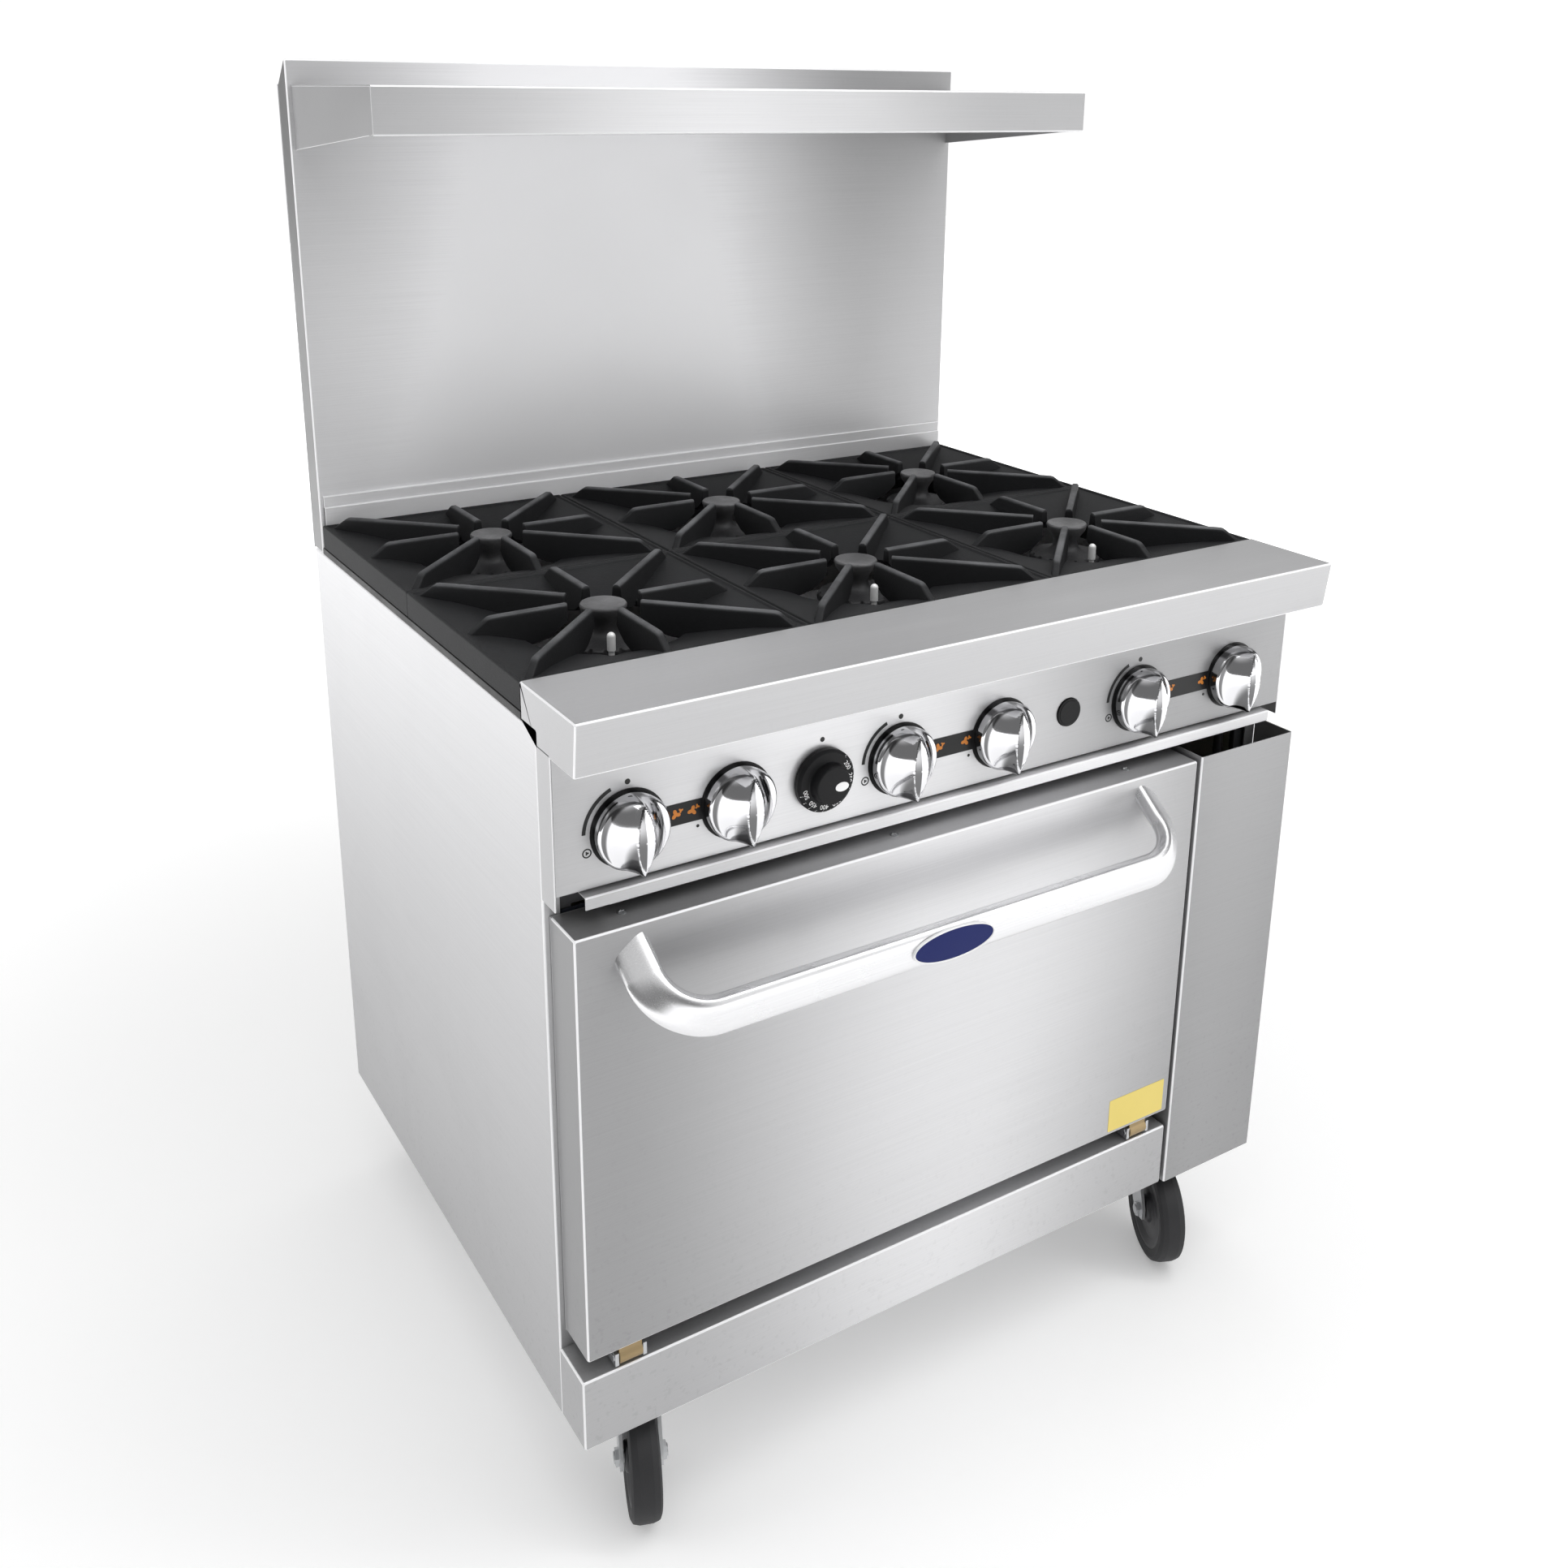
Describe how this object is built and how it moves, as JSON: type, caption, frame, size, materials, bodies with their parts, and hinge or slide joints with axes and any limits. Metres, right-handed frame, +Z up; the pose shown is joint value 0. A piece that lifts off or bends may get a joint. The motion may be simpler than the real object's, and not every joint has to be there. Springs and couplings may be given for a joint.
{
  "type": "commercial gas range",
  "caption": "Free-standing commercial gas range with open burners under cast grates, an oven with a drop-down door, a backguard with high shelf, a crumb tray and swivel casters.",
  "frame": {"origin": "on the floor, under the middle of the range's outline", "axes": "+Z up, +X to the right of someone facing the range, +Y to the back"},
  "size_m": [0.9144, 0.8206, 1.439],
  "materials": {
    "stainless": "brushed",
    "stainless_inner": "brushed",
    "handle_steel": "satin",
    "frame_steel": "matte",
    "black_enamel": "semi gloss",
    "oven_enamel": "gloss enamel",
    "mineral_wool": "matte",
    "gasket_braid": "woven",
    "zinc": "zinc plated",
    "brass": "cast",
    "cast_iron": "matte black",
    "burner_iron": "cast",
    "pilot_steel": "bright",
    "badge_enamel": "gloss",
    "dial_plastic": "satin",
    "knob_chrome": "polished",
    "wheel_rubber": "matte"
  },
  "bodies": {
    "range": {"side_panels": "stainless", "back_panel": "stainless", "bottom_panel": "stainless", "chassis_frame": "frame_steel", "kick_plate": "stainless", "filler_panel": "stainless", "front_ledge": "stainless", "control_panel": "stainless", "knob_plates": "black_enamel", "top_frame": "frame_steel", "backguard_front": "stainless", "backguard_rear": "stainless", "high_shelf": "stainless", "shelf_end_plates": "stainless", "oven_liner": "oven_enamel", "oven_insulation": "mineral_wool", "oven_front_frame": "oven_enamel", "door_gasket": "gasket_braid", "oven_floor_plate": "oven_enamel", "rack_guides": "zinc", "oven_rack": "zinc", "oven_burner": "frame_steel", "gas_manifold": "frame_steel", "gas_valves": "brass", "burner_venturis": "cast_iron", "burner_heads": "burner_iron", "burner_pilots": "pilot_steel", "hinge_brackets": "zinc", "caster_plates": "zinc", "body_fasteners": "zinc"},
    "oven_door": {"door_skin": "stainless", "door_liner": "stainless_inner", "door_insulation": "mineral_wool", "door_handle": "handle_steel", "handle_badge": "badge_enamel", "door_hinges": "brass", "door_screws": "zinc"},
    "tray": {"crumb_tray": "stainless"},
    "knob_1": {"burner_knob_1": "knob_chrome"},
    "knob_2": {"burner_knob_2": "knob_chrome"},
    "knob_3": {"burner_knob_3": "knob_chrome"},
    "knob_4": {"burner_knob_4": "knob_chrome"},
    "knob_5": {"burner_knob_5": "knob_chrome"},
    "knob_6": {"burner_knob_6": "knob_chrome"},
    "dial": {"thermostat_dial": "dial_plastic"},
    "button": {"pilot_button": "dial_plastic"},
    "caster_front_left": {"caster_fork_front_left": "zinc"},
    "wheel_front_left": {"caster_wheel_front_left": "wheel_rubber"},
    "caster_front_right": {"caster_fork_front_right": "zinc"},
    "wheel_front_right": {"caster_wheel_front_right": "wheel_rubber"},
    "caster_rear_left": {"caster_fork_rear_left": "zinc"},
    "wheel_rear_left": {"caster_wheel_rear_left": "wheel_rubber"},
    "caster_rear_right": {"caster_fork_rear_right": "zinc"},
    "wheel_rear_right": {"caster_wheel_rear_right": "wheel_rubber"},
    "grate_front_left_body": {"grate_front_left": "cast_iron"},
    "grate_front_middle_body": {"grate_front_middle": "cast_iron"},
    "grate_front_right_body": {"grate_front_right": "cast_iron"},
    "grate_rear_left_body": {"grate_rear_left": "cast_iron"},
    "grate_rear_middle_body": {"grate_rear_middle": "cast_iron"},
    "grate_rear_right_body": {"grate_rear_right": "cast_iron"}
  },
  "joints": [
    {"name": "door_hinge", "type": "hinge", "parent": "range", "child": "oven_door", "pos_m": [-0.405, -0.32775, 0.234], "axis": [1, 0, 0], "range_deg": [0, 90]},
    {"name": "tray_slide", "type": "slide", "parent": "range", "child": "tray", "axis": [0, -1, 0], "range_m": [0, 0.45]},
    {"name": "knob_1_turn", "type": "hinge", "parent": "range", "child": "knob_1", "pos_m": [-0.384, -0.31575, 0.781], "axis": [0, 1, 0], "range_deg": [-90, 0]},
    {"name": "knob_2_turn", "type": "hinge", "parent": "range", "child": "knob_2", "pos_m": [-0.273, -0.31575, 0.781], "axis": [0, 1, 0], "range_deg": [-90, 0]},
    {"name": "knob_3_turn", "type": "hinge", "parent": "range", "child": "knob_3", "pos_m": [-0.0875, -0.31575, 0.781], "axis": [0, 1, 0], "range_deg": [-90, 0]},
    {"name": "knob_4_turn", "type": "hinge", "parent": "range", "child": "knob_4", "pos_m": [0.04, -0.31575, 0.781], "axis": [0, 1, 0], "range_deg": [-90, 0]},
    {"name": "knob_5_turn", "type": "hinge", "parent": "range", "child": "knob_5", "pos_m": [0.2305, -0.31575, 0.781], "axis": [0, 1, 0], "range_deg": [-90, 0]},
    {"name": "knob_6_turn", "type": "hinge", "parent": "range", "child": "knob_6", "pos_m": [0.373, -0.31575, 0.781], "axis": [0, 1, 0], "range_deg": [-90, 0]},
    {"name": "dial_turn", "type": "hinge", "parent": "range", "child": "dial", "pos_m": [-0.179, -0.31575, 0.781], "axis": [0, 1, 0], "range_deg": [-270, 0]},
    {"name": "button_push", "type": "slide", "parent": "range", "child": "button", "axis": [0, 1, 0], "range_m": [0, 0.004], "stiffness_N_per_m": 400},
    {"name": "swivel_front_left", "type": "hinge", "parent": "range", "child": "caster_front_left", "pos_m": [-0.364, -0.25475, 0.13], "axis": [0, 0, 1], "continuous": true},
    {"name": "roll_front_left", "type": "hinge", "parent": "caster_front_left", "child": "wheel_front_left", "pos_m": [-0.37837, -0.29422, 0.0635], "axis": [0.9397, -0.342, 0], "continuous": true},
    {"name": "swivel_front_right", "type": "hinge", "parent": "range", "child": "caster_front_right", "pos_m": [0.364, -0.25775, 0.13], "axis": [0, 0, 1], "continuous": true},
    {"name": "roll_front_right", "type": "hinge", "parent": "caster_front_right", "child": "wheel_front_right", "pos_m": [0.34692, -0.29612, 0.0635], "axis": [0.9135, -0.4067, 0], "continuous": true},
    {"name": "swivel_rear_left", "type": "hinge", "parent": "range", "child": "caster_rear_left", "pos_m": [-0.364, 0.29625, 0.13], "axis": [0, 0, 1], "continuous": true},
    {"name": "roll_rear_left", "type": "hinge", "parent": "caster_rear_left", "child": "wheel_rear_left", "pos_m": [-0.35961, 0.33802, 0.0635], "axis": [-0.9945, 0.1045, 0], "continuous": true},
    {"name": "swivel_rear_right", "type": "hinge", "parent": "range", "child": "caster_rear_right", "pos_m": [0.364, 0.29625, 0.13], "axis": [0, 0, 1], "continuous": true},
    {"name": "roll_rear_right", "type": "hinge", "parent": "caster_rear_right", "child": "wheel_rear_right", "pos_m": [0.35888, 0.33794, 0.0635], "axis": [-0.9925, -0.1219, 0], "continuous": true},
    {"name": "lift_front_left", "type": "slide", "parent": "range", "child": "grate_front_left_body", "axis": [0, 0, 1], "range_m": [0, 0.06]},
    {"name": "lift_front_middle", "type": "slide", "parent": "range", "child": "grate_front_middle_body", "axis": [0, 0, 1], "range_m": [0, 0.06]},
    {"name": "lift_front_right", "type": "slide", "parent": "range", "child": "grate_front_right_body", "axis": [0, 0, 1], "range_m": [0, 0.06]},
    {"name": "lift_rear_left", "type": "slide", "parent": "range", "child": "grate_rear_left_body", "axis": [0, 0, 1], "range_m": [0, 0.06]},
    {"name": "lift_rear_middle", "type": "slide", "parent": "range", "child": "grate_rear_middle_body", "axis": [0, 0, 1], "range_m": [0, 0.06]},
    {"name": "lift_rear_right", "type": "slide", "parent": "range", "child": "grate_rear_right_body", "axis": [0, 0, 1], "range_m": [0, 0.06]}
  ]
}
